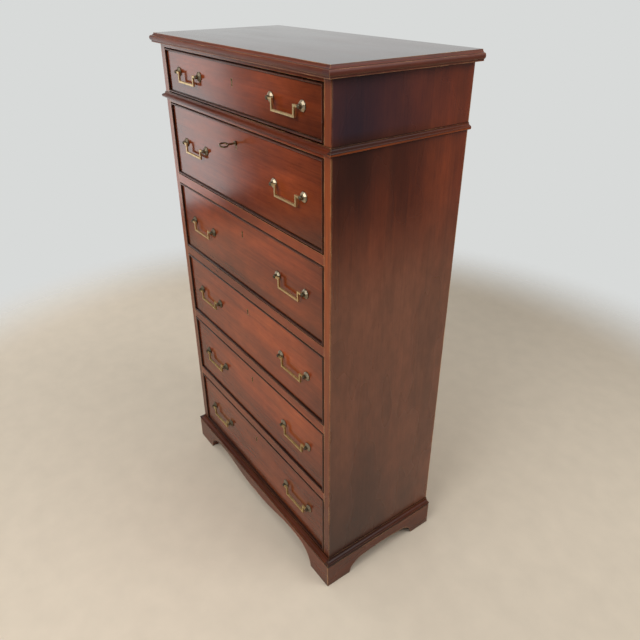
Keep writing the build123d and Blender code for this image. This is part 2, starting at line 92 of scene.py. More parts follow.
# painted light makes a front paler from its foot to its top, and painted shade darker at its very
# foot and at its ends
FRONT_LIGHT_RISE, FRONT_FOOT, FRONT_END = (0.88, 1.2), 0.8, 0.66

# Heights between which the sides turn from red to browner, partly as a painted reflection of the
# floor, and their front edges turn paler as painted light
BROWNER_BELOW = (1.0, 0.72)
EDGE_LIGHT_RISE = (0.1, 0.8)
# the least that the front edges fade, between their streaks
EDGE_STREAK = 0.25
# heights between which painted shade makes the front edges darker again, under the overhang of the
# top
SHADED_EDGE, SHADED_SHARE = (0.88, 1.12), 0.45
# where the painted shade of the sides starts and is at its fullest: upwards, downwards and forwards
DARK_HIGH = (0.78, 1.03)
DARK_LOW = (0.55, 0.1)
DARK_FORWARD = (0.23, -0.12)
# the share of painted shade that is left in its thinner clouds
DARK_UNEVEN = 0.8
# heights between which a painted bluish sheen, for a reflection, comes over the painted shade
PAINTED_SHEEN_HEIGHTS = (1.072, 1.09)
# how cloudy the polish is, as factors of the colour
CLOUDED = (0.8, 1.16)
# wear starts and is full where the rounded and the flat normal agree this little, and old waxing
# with painted shade where a corner is open this little
WORN_TURN, WAX_AND_SHADE_HOLLOW = (0.96, 0.88), (0.84, 0.5)
# the beads turn black as painted shade between these two parts of the normal towards the front,
# by this share
GAP_TURN, GAP_SHADE = (-0.9, -0.6), 0.95
# how nearly black the flat of the top is made, and what its moulded edge gains in roughness
DECK_DARK, EDGE_DULLNESS = 0.75, 0.34

# The fine lines take at most this share of the pale colour.
LINE_SHARE = 0.32
# Marks of the mahogany: length along the grain and width across it in millimetres, detail and
# roughness of the noise, the range of it that is used, what that becomes, and how.
# Real pores are 0.3 mm wide, drawn at 1.4 mm to show.
MAHOGANY_MARKS = {
    "bands": (900, 34, 3.0, 0.5, (0.25, 0.75), (0.12, 0.88), "SMOOTHSTEP"),
    "glow": (420, 130, 1.0, 0.5, (0.35, 0.75), (0.0, 0.45), "SMOOTHSTEP"),
    "lines": (150, 3.2, 4.0, 0.6, (0.32, 0.7), (0.0, LINE_SHARE), "LINEAR"),
    "pores": (22, 1.4, 2.0, 0.5, (0.6, 0.76), (0.0, 0.35), "LINEAR"),
    "clouds": (240, 85, 2.0, 0.5, (0.25, 0.75), (0.0, 1.0), "SMOOTHSTEP"),
    "mottle": (45, 18, 3.0, 0.6, (0.25, 0.75), (0.86, 1.12), "SMOOTHSTEP"),
    "fine": (320, 6, 3.0, 0.6, (0.3, 0.7), (0.92, 1.08), "LINEAR"),
    "broken": (60, 24, 4.0, 0.65, (0.36, 0.6), (0.0, 1.0), "LINEAR"),
}
# Marks of the pine: length along the grain and width across it in millimetres, the range of the
# noise that is used, factors of the colour along the fibres, and the most that stains take
PINE_MARKS = {"bands": (700, 16), "fibres": (120, 2.4), "stains": (260, 120)}
PINE_RANGE, PINE_LEVEL, STAIN_SHARE = (0.32, 0.68), (0.86, 1.08), 0.4
# Tarnish comes in blotches this wide, and dirt this far from the corners of the metal.
BLOTCH_WIDTH, DIRT_REACH = 9 * MM, 7 * MM
BLOTCHED, DIRTY_HOLLOW = (0.42, 0.68), (0.75, 0.25)
# how much rougher tarnish makes the metal, and how black the posts are painted as shade
TARNISH_ROUGHENS, NECK_SHADE = 0.25, 0.8
# the rosettes turn darker by this share from right to left, within this distance of the middle
LEFT_DARK, LEFT_REACH = 0.62, 50 * MM

# Lamps: where each hangs, what it is aimed at, its width and height, and the setting of its power
LAMPS = {
    "key_lamp": ((0.45, -1.75, 2.3), (0.1, 0, 0.6), (1.6, 1.4), "key_power"),
    "ceiling_lamp": ((0, -0.2, 3.4), (0, -0.2, 0), (2.2, 2.2), "ceiling_power"),
    "window_lamp": ((-2.2, -0.6, 0.85), (0, -0.6, 0.85), (1.36, 1.54), "window_power"),
    "side_lamp": ((1.9, 1.0, 2.3), (0.33, 0, 0.6), (1.5, 1.5), "side_power"),
}
# the side lamp is held back in the polish, which would look milky with all of it
SIDE_GLINT = 0.25
# the pale wall stands this way, behind the chest, and the room is darker in front; the wall and the
# ceiling come in between these parts of a heading
WALL_HEADING = (-0.45, 0.89, 0)
WALL_EDGE, CEILING_EDGE = (0.2, 0.7), (0.3, 0.75)
# the floor's form, its marks, and the shares of its radius that the eye sees and where it fades
FLOOR_SEGMENTS, FLOOR_DROP = 96, 0.5 * MM
TROWEL_WIDTH, TROWELLED = 60 * MM, (0.93, 1.07)
FLOOR_SEEN, FLOOR_FADE = 0.72, (0.68, 0.97)


# Colours, nodes and meshes

def linear(code):
    """An sRGB hex colour as linear red, green, blue and alpha."""
    parts = [int(code[place:place + 2], 16) / 255 for place in (1, 3, 5)]
    curve = [c / 12.92 if c <= 0.04045 else ((c + 0.055) / 1.055) ** 2.4 for c in parts]
    return (*curve, 1.0)


def add(tree, kind, inputs=None, **settings):
    """Add a node with its settings; each input is a value, or a node or socket to link from."""
    node = tree.nodes.new(kind)
    for name, value in settings.items():
        setattr(node, name, value)
    for socket, value in (inputs or {}).items():
        if isinstance(value, bpy.types.Node):
            value = next(output for output in value.outputs if output.enabled)
        if isinstance(value, bpy.types.NodeSocket):
            tree.links.new(value, node.inputs[socket])
        else:
            node.inputs[socket].default_value = value
    return node


def blank_material(name):
    """A new material with an empty node tree."""
    material = bpy.data.materials.new(name)
    material.use_nodes = True
    material.node_tree.nodes.clear()
    return material


def per_metre(along, across, axis):
    """Pattern repeats per metre on x, y and z, for marks this long and wide in millimetres."""
    repeats = [1 / (across * MM)] * 3
    repeats[axis] = 1 / (along * MM)
    return repeats


def dress(node_name, material, width, segments=2):
    """Give a CAD node its finish, merge its flat triangles and round its sharp edges."""
    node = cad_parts[node_name]
    node.data.materials.clear()
    node.data.materials.append(material)
    flat = node.modifiers.new("flat_faces", "DECIMATE")
    flat.decimate_type = "DISSOLVE"
    flat.angle_limit = FLAT_ANGLE
    ease = node.modifiers.new("eased_edges", "BEVEL")
    ease.width = width
    ease.segments = segments
    ease.limit_method = "ANGLE"
    ease.angle_limit = SHARP_ANGLE
    ease.harden_normals = True


def place_piece(name, mesh, body, material):
    """Turn a bmesh into a flat-faced piece that rides on a body."""
    data = bpy.data.meshes.new(name)
    mesh.to_mesh(data)
    mesh.free()
    data.materials.append(material)
    piece = bpy.data.objects.new(name, data)
    bpy.context.scene.collection.objects.link(piece)
    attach(piece, body)


# Mahogany

def look_at_wood(tree):
    """Sockets for where a point lies, how far out from the middle, and which way it faces."""
    place = add(tree, "ShaderNodeTexCoord").outputs["Object"]
    x, y, z = add(tree, "ShaderNodeSeparateXYZ", {0: place}).outputs
    out = add(tree, "ShaderNodeMath", {0: x}, operation="ABSOLUTE")
    outside = add(tree, "ShaderNodeMath", {0: out, 1: OUTSIDE}, operation="GREATER_THAN")
    faces = add(tree, "ShaderNodeNewGeometry").outputs
    facing = add(tree, "ShaderNodeSeparateXYZ", {0: faces["True Normal"]}).outputs
    return SimpleNamespace(place=place, y=y, z=z, out=out, outside=outside,
                           normal=faces["Normal"], forward=facing[1], upward=facing[2])


def draw_marks(tree, spot, grain, flat_along_x):
    """The marks of the mahogany, drawn out along its grain."""
    mitred = grain not in GRAIN_AXES
    if mitred:
        # past the mitre line at the front corners, the wood runs from front to back
        past = add(tree, "ShaderNodeMath", {0: spot.out, 1: spot.y}, operation="ADD")
        side_lengths = add(tree, "ShaderNodeMath", {0: past, 1: CARCASE_HALF + CARCASE_FRONT},
                           operation="GREATER_THAN")
        if flat_along_x:
            edge_only = add(tree, "ShaderNodeMath", {0: spot.upward, 1: FLAT},
                            operation="LESS_THAN")
            side_lengths = add(tree, "ShaderNodeMath", {0: side_lengths, 1: edge_only},
                               operation="MULTIPLY")
    marks = {}
    for mark, (along, across, depth, roughness, used, becomes, curve) in MAHOGANY_MARKS.items():
        scale = per_metre(along, across, GRAIN_AXES["along_x" if mitred else grain])
        drawn = add(tree, "ShaderNodeMapping", {"Vector": spot.place, "Scale": scale})
        if mitred:
            side_scale = per_metre(along, across, GRAIN_AXES["along_y"])
            side = add(tree, "ShaderNodeMapping", {"Vector": spot.place, "Scale": side_scale})
            drawn = add(tree, "ShaderNodeMix", {"Factor": side_lengths, 4: drawn, 5: side},
                        data_type="VECTOR")
        noise = add(tree, "ShaderNodeTexNoise",
                    {"Vector": drawn, "Scale": 1.0, "Detail": depth, "Roughness": roughness})
        marks[mark] = add(tree, "ShaderNodeMapRange",
                          {"Value": noise.outputs["Fac"], "From Min": used[0], "From Max": used[1],
                           "To Min": becomes[0], "To Max": becomes[1]}, interpolation_type=curve)
    return SimpleNamespace(**marks)


def shade_front(tree, spot, panel):
    """Factors for a drawer front: paler towards its top as painted light, and darker along its foot
    and ends as painted shade.
    """
    detail = bpy.context.scene.chest_detail
    low, high = panel
    lightened = add(tree, "ShaderNodeMapRange",
                {"Value": spot.z, "From Min": low[2], "From Max": high[2],
                 "To Min": FRONT_LIGHT_RISE[0], "To Max": FRONT_LIGHT_RISE[1]})
    foot = add(tree, "ShaderNodeMapRange",
               {"Value": spot.z, "From Min": low[2] + detail.bead_width,
                "From Max": low[2] + detail.foot_shade_width, "To Min": FRONT_FOOT, "To Max": 1.0},
               interpolation_type="SMOOTHSTEP")
    ends = add(tree, "ShaderNodeMapRange",
               {"Value": spot.out, "From Min": high[0] - detail.bead_width,
                "From Max": high[0] - detail.end_shade_width, "To Min": FRONT_END, "To Max": 1.0},
               interpolation_type="SMOOTHSTEP")
    return lightened, foot, ends


def fade_and_light_edges(tree, spot, marks, colour):
    """The front edges of the side boards have lost their stain and look orange, paler further up as
    painted light and darker under the overhang of the top as painted shade.
    """
    finish = bpy.context.scene.chest_finish
    edge_face = add(tree, "ShaderNodeMath", {0: spot.forward, 1: -FACING}, operation="LESS_THAN")
    colour = add(tree, "ShaderNodeMix", {"Factor": edge_face, 6: colour, 7: finish.mahogany_edge},
                 data_type="RGBA")
    streaky = add(tree, "ShaderNodeMapRange",
                  {"Value": marks.lines, "From Max": LINE_SHARE, "To Min": EDGE_STREAK,
                   "To Max": 1.0})
    lit_higher = add(tree, "ShaderNodeMapRange",
                 {"Value": spot.z, "From Min": EDGE_LIGHT_RISE[0], "From Max": EDGE_LIGHT_RISE[1]})
    shaded = add(tree, "ShaderNodeMapRange",
                 {"Value": spot.z, "From Min": SHADED_EDGE[0], "From Max": SHADED_EDGE[1],
                  "To Min": 1.0, "To Max": SHADED_SHARE})
    lightened = edge_face
    for factor in (streaky, lit_higher, shaded, marks.mottle):
        lightened = add(tree, "ShaderNodeMath", {0: lightened, 1: factor}, operation="MULTIPLY",
                    use_clamp=True)
    return add(tree, "ShaderNodeMix", {"Factor": lightened, 6: colour, 7: finish.mahogany_faded},
               data_type="RGBA")


def paint_outside_shade(tree, spot, marks, colour, outside_shade):
    """Painted shade on the outsides: nearly black at the top front corner, and dark at the foot."""
    finish = bpy.context.scene.chest_finish
    up = add(tree, "ShaderNodeMapRange",
             {"Value": spot.z, "From Min": DARK_HIGH[0], "From Max": DARK_HIGH[1]},
             interpolation_type="SMOOTHSTEP")
    down = add(tree, "ShaderNodeMapRange",
               {"Value": spot.z, "From Min": DARK_LOW[0], "From Max": DARK_LOW[1]},
               interpolation_type="SMOOTHSTEP")
    forward = add(tree, "ShaderNodeMapRange",
                  {"Value": spot.y, "From Min": DARK_FORWARD[0], "From Max": DARK_FORWARD[1],
                   "To Max": outside_shade}, interpolation_type="SMOOTHSTEP")
    uneven = add(tree, "ShaderNodeMapRange",
                 {"Value": marks.clouds, "To Min": 1.0, "To Max": DARK_UNEVEN})
    dark = add(tree, "ShaderNodeMath", {0: up, 1: down}, operation="MAXIMUM")
    for factor in (spot.outside, forward, uneven):
        dark = add(tree, "ShaderNodeMath", {0: dark, 1: factor}, operation="MULTIPLY")
    # a painted bluish sheen, standing in for a reflection, comes over the painted shade above the
    # waist
    sheened = add(tree, "ShaderNodeMapRange",
                  {"Value": spot.z, "From Min": PAINTED_SHEEN_HEIGHTS[0], "From Max": PAINTED_SHEEN_HEIGHTS[1]})
    shade = add(tree, "ShaderNodeMix",
                {"Factor": sheened, 6: finish.mahogany_painted_shade, 7: finish.mahogany_painted_sheen},
                data_type="RGBA")
    return add(tree, "ShaderNodeMix", {"Factor": dark, 6: colour, 7: shade}, data_type="RGBA")


def wear_edges(tree, spot, marks, colour, worn):
    """Bare wood where the rounded normal leaves the flat one, broken up to come and go."""
    scene = bpy.context.scene
    reach = scene.chest_detail.wear_width * worn
    rounded = add(tree, "ShaderNodeBevel", {"Radius": reach}, samples=4)
    agree = add(tree, "ShaderNodeVectorMath", {0: spot.normal, 1: rounded}, operation="DOT_PRODUCT")
    edge = add(tree, "ShaderNodeMapRange",
               {"Value": agree, "From Min": WORN_TURN[0], "From Max": WORN_TURN[1]})
    wear = add(tree, "ShaderNodeMath", {0: edge, 1: marks.broken}, operation="MULTIPLY")
    return add(tree, "ShaderNodeMix",
               {"Factor": wear, 6: colour, 7: scene.chest_finish.mahogany_worn}, data_type="RGBA")


def rub_fillet(tree, spot, marks, bared):
    """The share of bare wood on the lowest fillet of a moulding, at the sides only."""
    rubbed = add(tree, "ShaderNodeMath", {0: spot.z, 1: bared}, operation="LESS_THAN")
    patchy = add(tree, "ShaderNodeMapRange",
                 {"Value": marks.clouds, "To Min": RUBBED_SHARE[0], "To Max": RUBBED_SHARE[1]})
    for factor in (spot.outside, patchy):
        rubbed = add(tree, "ShaderNodeMath", {0: rubbed, 1: factor}, operation="MULTIPLY")
    return rubbed


def mahogany(name, grain, tone=1.0, gloss=(0.17, 0.25), brown_and_floor_sheen=0.0, worn=1.0, outside_shade=0.88,
             blackened=None, panel=None, polish=1.42, bared=None):
    """French-polished mahogany: red-brown, with long fine streaks, broad soft bands and small dark
    pores under a thin clear polish, black in its corners from old waxing and as painted shade, and
    paler where hands and dusters wore the edges through.

    grain is along_x or along_z, or round_the_chest for lengths mitred at the front corners. tone
    scales the colour, gloss is the least and most roughness, browned is the share of browner
    colour low down, partly the wood's own and partly a painted reflection of the floor, worn scales
    the width of bare wood at the edges, and darkened is the share of painted shade on the outsides.
    blackened is "gaps" where all but the front is painted black as shade, or "deck" where the upper
    face is made nearly black. panel is the lowest and highest corner of a drawer front. polish is
    the index of the coat: 1.5 where it is full, less where it is thin. bared is the height of the
    top of a rubbed fillet.
    """
    finish = bpy.context.scene.chest_finish
    material = blank_material(name)
    tree = material.node_tree
    spot = look_at_wood(tree)
    marks = draw_marks(tree, spot, grain, blackened == "deck")

    colour = add(tree, "ShaderNodeMix",
                 {"Factor": marks.bands, 6: finish.mahogany_deep, 7: finish.mahogany_mid},
                 data_type="RGBA")
    for share in (marks.glow, marks.lines):
        colour = add(tree, "ShaderNodeMix", {"Factor": share, 6: colour, 7: finish.mahogany_pale},
                     data_type="RGBA")
    if brown_and_floor_sheen:
        # the lower part is browner, partly its own colour and partly a painted reflection of the
        # floor, and the upper part stays red
        share = add(tree, "ShaderNodeMapRange",
                    {"Value": spot.z, "From Min": BROWNER_BELOW[0], "From Max": BROWNER_BELOW[1],
                     "To Max": brown_and_floor_sheen}, interpolation_type="SMOOTHSTEP")
        colour = add(tree, "ShaderNodeMix", {"Factor": share, 6: colour, 7: finish.mahogany_brown_and_floor_sheen},
                     data_type="RGBA")
    level = add(tree, "ShaderNodeMapRange",
                {"Value": marks.clouds, "To Min": CLOUDED[0] * tone, "To Max": CLOUDED[1] * tone})
    # on a drawer front, painted light towards its top and painted shade at its foot and ends
    shading = shade_front(tree, spot, panel) if panel else ()
    for factor in (marks.mottle, marks.fine, *shading):
        level = add(tree, "ShaderNodeMath", {0: level, 1: factor}, operation="MULTIPLY")
    colour = add(tree, "ShaderNodeHueSaturation", {"Color": colour, "Value": level})
    # front edges of the sides: orange wood, paler further up as painted light, darker under the top
    # as painted shade
    if grain == "along_z":
        colour = fade_and_light_edges(tree, spot, marks, colour)
    colour = add(tree, "ShaderNodeMix", {"Factor": marks.pores, 6: colour, 7: finish.mahogany_pore},
                 data_type="RGBA")
    # painted shade on the outsides, with a painted bluish sheen above the waist
    if grain != "along_x":
        colour = paint_outside_shade(tree, spot, marks, colour, outside_shade)
    colour = wear_edges(tree, spot, marks, colour, worn)

    # black in the corners from old waxing and as painted shade
    hollow = add(tree, "ShaderNodeAmbientOcclusion",
                 {"Distance": bpy.context.scene.chest_detail.wax_and_shade_reach}, samples=6)
    wax_and_shade = add(tree, "ShaderNodeMapRange",
              {"Value": hollow.outputs["AO"], "From Min": WAX_AND_SHADE_HOLLOW[0],
               "From Max": WAX_AND_SHADE_HOLLOW[1]})
    if bared is not None:
        rubbed = rub_fillet(tree, spot, marks, bared)
        colour = add(tree, "ShaderNodeMix", {"Factor": rubbed, 6: colour, 7: finish.mahogany_faded},
                     data_type="RGBA")
        wax_and_shade = add(tree, "ShaderNodeMath", {0: wax_and_shade, 1: rubbed}, operation="SUBTRACT", use_clamp=True)
    # the gaps round the drawers are painted shade
    if blackened == "gaps":
        turned = add(tree, "ShaderNodeMapRange",
                     {"Value": spot.forward, "From Min": GAP_TURN[0], "From Max": GAP_TURN[1],
                      "To Max": GAP_SHADE})
        wax_and_shade = add(tree, "ShaderNodeMath", {0: wax_and_shade, 1: turned}, operation="MAXIMUM")
    sheen = add(tree, "ShaderNodeMapRange",
                {"Value": marks.clouds, "To Min": gloss[0], "To Max": gloss[1]})
    # the flat of the top is made nearly black, and its moulded edge duller
    if blackened == "deck":
        level_face = add(tree, "ShaderNodeMapRange",
                         {"Value": spot.upward, "From Min": MOULDED, "From Max": FLAT,
                          "To Max": DECK_DARK})
        wax_and_shade = add(tree, "ShaderNodeMath", {0: wax_and_shade, 1: level_face}, operation="MAXIMUM")
        # the moulded edge of the top is dusted less often than its flat, and is duller
        duller = add(tree, "ShaderNodeMapRange",
                     {"Value": spot.upward, "From Min": FLAT, "From Max": MOULDED,
                      "To Max": EDGE_DULLNESS})
        sheen = add(tree, "ShaderNodeMath", {0: sheen, 1: duller}, operation="ADD")
    colour = add(tree, "ShaderNodeMix", {"Factor": wax_and_shade, 6: colour, 7: finish.black_wax_and_shade},
                 data_type="RGBA")
    relief = add(tree, "ShaderNodeMath", {0: marks.lines, 1: marks.pores}, operation="SUBTRACT")
    bump = add(tree, "ShaderNodeBump", {"Strength": 0.05, "Distance": 0.9 * MM, "Height": relief})
    shader = add(tree, "ShaderNodeBsdfPrincipled",
                 {"Base Color": colour, "Roughness": sheen, "IOR": polish, "Normal": bump})
    add(tree, "ShaderNodeOutputMaterial", {0: shader})
    return material


# Pine, brass and iron

def pine(name, grain):
    """Planed pine, never polished: yellow-brown with age, broad growth bands and a dry surface.

    Where grain is along_y, the boards that face the front or the back run across.
    """
    finish = bpy.context.scene.chest_finish
    material = blank_material(name)
    tree = material.node_tree
    place = add(tree, "ShaderNodeTexCoord").outputs["Object"]
    if grain == "along_y":
        faces = add(tree, "ShaderNodeNewGeometry").outputs["True Normal"]
        facing = add(tree, "ShaderNodeVectorMath", {0: faces}, operation="ABSOLUTE")
        depth = add(tree, "ShaderNodeSeparateXYZ", {0: facing}).outputs[1]
        end_board = add(tree, "ShaderNodeMath", {0: depth, 1: FACING}, operation="GREATER_THAN")
    marks = {}
    for mark, (along, across) in PINE_MARKS.items():
        scale = per_metre(along, across, GRAIN_AXES[grain])
        drawn = add(tree, "ShaderNodeMapping", {"Vector": place, "Scale": scale})
        if grain == "along_y":
            end_scale = per_metre(along, across, GRAIN_AXES["along_x"])
            turned = add(tree, "ShaderNodeMapping", {"Vector": place, "Scale": end_scale})
            drawn = add(tree, "ShaderNodeMix", {"Factor": end_board, 4: drawn, 5: turned},
                        data_type="VECTOR")
        noise = add(tree, "ShaderNodeTexNoise", {"Vector": drawn, "Scale": 1.0, "Detail": 3.0})
        marks[mark] = add(tree, "ShaderNodeMapRange",
                          {"Value": noise.outputs["Fac"], "From Min": PINE_RANGE[0],
                           "From Max": PINE_RANGE[1]})
    colour = add(tree, "ShaderNodeMix",
                 {"Factor": marks["bands"], 6: finish.pine_late, 7: finish.pine_early},
                 data_type="RGBA")
    level = add(tree, "ShaderNodeMapRange",
                {"Value": marks["fibres"], "To Min": PINE_LEVEL[0], "To Max": PINE_LEVEL[1]})
    colour = add(tree, "ShaderNodeHueSaturation", {"Color": colour, "Value": level})
    dirt = add(tree, "ShaderNodeMath", {0: marks["stains"], 1: STAIN_SHARE}, operation="MULTIPLY")
    colour = add(tree, "ShaderNodeMix", {"Factor": dirt, 6: colour, 7: finish.pine_stain},
                 data_type="RGBA")
    bump = add(tree, "ShaderNodeBump",
               {"Strength": 0.12, "Distance": 0.4 * MM, "Height": marks["fibres"]})
    shader = add(tree, "ShaderNodeBsdfPrincipled",
                 {"Base Color": colour, "Roughness": 0.72, "Normal": bump})
    add(tree, "ShaderNodeOutputMaterial", {0: shader})
    return material


def aged_metal(name, bright, dull, roughness, tarnished, neck=None):
    """Cast metal that was polished once: bright where fingers rub it and nearly black in corners.

    bright and dull name its colours, and tarnished is the most that its blotches take of it. In
    front of neck, a place in y, it is black as painted shade, and on the left, where it is rubbed
    less, darker.
    """
    finish = bpy.context.scene.chest_finish
    material = blank_material(name)
    tree = material.node_tree
    place = add(tree, "ShaderNodeTexCoord").outputs["Object"]
    blotches = add(tree, "ShaderNodeTexNoise",
                   {"Vector": place, "Scale": 1 / BLOTCH_WIDTH, "Detail": 4.0})
    tarnish = add(tree, "ShaderNodeMapRange",
                  {"Value": blotches.outputs["Fac"], "From Min": BLOTCHED[0],
                   "From Max": BLOTCHED[1]})
    hollow = add(tree, "ShaderNodeAmbientOcclusion", {"Distance": DIRT_REACH}, samples=6)
    dirt = add(tree, "ShaderNodeMapRange",
               {"Value": hollow.outputs["AO"], "From Min": DIRTY_HOLLOW[0],
                "From Max": DIRTY_HOLLOW[1]})
    spread = add(tree, "ShaderNodeMath", {0: tarnish, 1: tarnished}, operation="MULTIPLY")
    dark = add(tree, "ShaderNodeMath", {0: spread, 1: dirt}, operation="MAXIMUM")
    if neck is not None:
        spot = add(tree, "ShaderNodeSeparateXYZ", {0: place}).outputs
        # the posts in front of the neck are painted black as shade
        post = add(tree, "ShaderNodeMapRange",
                   {"Value": spot[1], "From Min": neck, "From Max": neck - NECK_REACH,
                    "To Max": NECK_SHADE})
        left = add(tree, "ShaderNodeMapRange",
                   {"Value": spot[0], "From Min": LEFT_REACH, "From Max": -LEFT_REACH,
                    "To Max": LEFT_DARK})
        for share in (post, left):
            dark = add(tree, "ShaderNodeMath", {0: dark, 1: share}, operation="MAXIMUM")
    colour = add(tree, "ShaderNodeMix",
                 {"Factor": dark, 6: getattr(finish, bright), 7: getattr(finish, dull)},
                 data_type="RGBA")
    rough = add(tree, "ShaderNodeMapRange",
                {"Value": dark, "To Min": roughness, "To Max": roughness + TARNISH_ROUGHENS})
    shader = add(tree, "ShaderNodeBsdfPrincipled",
                 {"Base Color": colour, "Metallic": 1.0, "Roughness": rough})
    add(tree, "ShaderNodeOutputMaterial", {0: shader})
    return material


# Each finish with what makes it and its settings
FINISHES = {
    # satin side boards, browner low down, partly as a painted reflection of the floor, with rubbed
    # front edges
    "mahogany_sides": (mahogany, dict(grain="along_z", tone=0.92, gloss=(0.24, 0.32), brown_and_floor_sheen=0.75,
                                      worn=2.5)),
    # rails between the drawers, shiny like the fronts
    "mahogany_rails": (mahogany, dict(grain="along_x", tone=1.08)),
    # beads whose outer faces are lost in black painted shade in the gaps round the drawers
    "mahogany_beads": (mahogany, dict(grain="along_x", tone=0.5, gloss=(0.26, 0.34), worn=0.2,
                                      blackened="gaps")),
    # mouldings, where little polish is left and the dust dulls it
    "mahogany_waist": (mahogany, dict(grain="round_the_chest", tone=0.55, gloss=(0.32, 0.42),
                                      worn=0.5, outside_shade=1.0, polish=1.24, bared=WAIST_FILLET)),
    "mahogany_base": (mahogany, dict(grain="round_the_chest", tone=0.38, gloss=(0.3, 0.4),
                                     worn=0.6, polish=1.28)),
    # feet that shoes and brooms have rubbed at the corners
    "mahogany_plinth": (mahogany, dict(grain="round_the_chest", tone=0.66, gloss=(0.24, 0.32),
                                       worn=2.0, outside_shade=0.2)),
    # a top polished like a mirror, with a duller moulded edge
    "mahogany_top": (mahogany, dict(grain="round_the_chest", tone=0.62, gloss=(0.08, 0.14),
                                    outside_shade=0.3, blackened="deck", polish=1.34)),
    # bare dry pine: boards of the back, dust boards, and drawer boxes with their runners
    "pine_upright": (pine, dict(grain="along_z")),
    "pine_across": (pine, dict(grain="along_x")),
    "pine_drawer_box": (pine, dict(grain="along_y")),
    # locks, liners and upper bails, yellow where they are handled
    "aged_brass": (aged_metal, dict(bright="brass_bright", dull="brass_dull", roughness=0.42,
                                    tarnished=0.25)),
    # bails of the lower drawers, greener and more blotched
    "olive_brass": (aged_metal, dict(bright="brass_olive", dull="brass_dull", roughness=0.44,
                                     tarnished=0.45)),
    # rosettes, grey above and nearly black below, with posts painted black as shade
    "tarnished_brass": (aged_metal, dict(bright="brass_grey", dull="brass_dull", roughness=0.46,
                                         tarnished=0.35, neck=POST_NECK)),
    "blackened_brass": (aged_metal, dict(bright="brass_dark", dull="brass_dull", roughness=0.46,
                                         tarnished=0.5, neck=POST_NECK)),
    # key, screws and nails, dark grey with a worn shine
    "dulled_iron": (aged_metal, dict(bright="iron_bright", dull="iron_dull", roughness=0.34,
                                     tarnished=0.55)),
}


def finish_named(name):
    """A finish that an earlier operator made, or one made now."""
    maker, settings = FINISHES[name]
    return bpy.data.materials.get(name) or maker(name, **settings)


# Settings

def colour_setting(name, description, code):
    """A colour that a user may change, given as sRGB hex."""
    return bpy.props.FloatVectorProperty(name=name, description=description, subtype="COLOR",
                                         size=4, min=0, max=1, default=linear(code))


def length_setting(name, description, millimetres):
    """A length that a user may change, given in millimetres."""
    return bpy.props.FloatProperty(name=name, description=description, unit="LENGTH", min=0,
                                   default=millimetres * MM)


def power_setting(name, description, watts):
    """A lamp's power that a user may change."""
    return bpy.props.FloatProperty(name=name, description=description, subtype="POWER",
                                   default=watts)


class ChestFinish(bpy.types.PropertyGroup):
    mahogany_deep: colour_setting("Deep mahogany", "Dark bands of the wood", "#4c1a0a")
    mahogany_mid: colour_setting("Mid mahogany", "Ground colour of the wood", "#7a3014")
    mahogany_pale: colour_setting("Pale mahogany", "Fine streaks along the grain", "#964720")
    # painted shade on the outsides, nearly black at the top front corner
    mahogany_painted_shade: colour_setting("Dark polish", "Thick old polish on the sides", "#2f1a15")
    # a painted bluish sheen, standing in for a reflection, over the painted shade above the waist
    mahogany_painted_sheen: colour_setting("Bloom", "Bluish haze in the polish above the waist", "#2e2630")
    mahogany_pore: colour_setting("Pores", "Short dark pores filled with polish", "#2a0f0a")
    mahogany_worn: colour_setting("Worn edge", "Bare wood where the polish is worn away", "#c49262")
    mahogany_edge: colour_setting("Side edges", "Front edges of the sides, low down", "#5c2a16")
    mahogany_faded: colour_setting("Faded edge", "Orange wood that has lost its stain", "#a84f1c")
    # browner mahogany low on the sides: partly the wood's own colour, partly a painted reflection
    # of the floor
    mahogany_brown_and_floor_sheen: colour_setting("Bleached mahogany", "Brown left by light low down", "#7b4f3b")
    # black of old waxing in the corners, also used as painted shade there and in the gaps round the
    # drawers, and to make the flat of the top nearly black
    black_wax_and_shade: colour_setting("Old wax", "Black wax and dust in the corners", "#0c0605")
    pine_early: colour_setting("Pine", "Ground colour of the drawer linings", "#b58e5e")
    pine_late: colour_setting("Pine bands", "Darker growth bands", "#8d6238")
    pine_stain: colour_setting("Pine stain", "Old dirt on the pine", "#6b4a2c")
    brass_bright: colour_setting("Bright brass", "Rubbed brass", "#e2c692")
    brass_olive: colour_setting("Olive brass", "Bails of the lower drawers", "#ccb37b")
    brass_grey: colour_setting("Grey brass", "Rosettes of the upper drawers", "#c2b297")
    brass_dark: colour_setting("Dark brass", "Rosettes of the lower drawers", "#a3967f")
    brass_dull: colour_setting("Dull brass", "Tarnish in the corners", "#2c2517")
    iron_bright: colour_setting("Bright iron", "Rubbed key", "#978a70")
    iron_dull: colour_setting("Dull iron", "Dark key", "#2e2a24")


class ChestDetail(bpy.types.PropertyGroup):
    arris: length_setting("Arris", "Rounding of the board edges", 0.9)
    moulding_arris: length_setting("Moulding arris", "Rounding of the moulding edges", 0.35)
    bead_arris: length_setting("Bead rounding", "Rounding of the cock bead", 0.8)
    brass_arris: length_setting("Brass rounding", "Rounding of the cast brass", 0.5)
    wear_width: length_setting("Wear width", "Reach of the worn edges", 2.0)
    bead_width: length_setting("Bead width", "Width of the cock bead", 4.5)
    # the darker foot and ends of a drawer front are painted shade
    foot_shade_width: length_setting("Grime width", "Reach of the darker foot of a drawer front", 42)
    end_shade_width: length_setting("End width", "Reach of the darker ends of a drawer front", 120)
    # this reach also spreads painted shade from the corners
    wax_and_shade_reach: length_setting("Wax reach", "How far old wax spreads from a corner", 6.5)
    liner_width: length_setting("Keyhole liner", "Width of the brass line round a keyhole", 0.5)
    screw_radius: length_setting("Screw head", "Radius of a lock screw's head", 2.8)
    nail_radius: length_setting("Nail head", "Radius of a nail head on the back", 2.4)


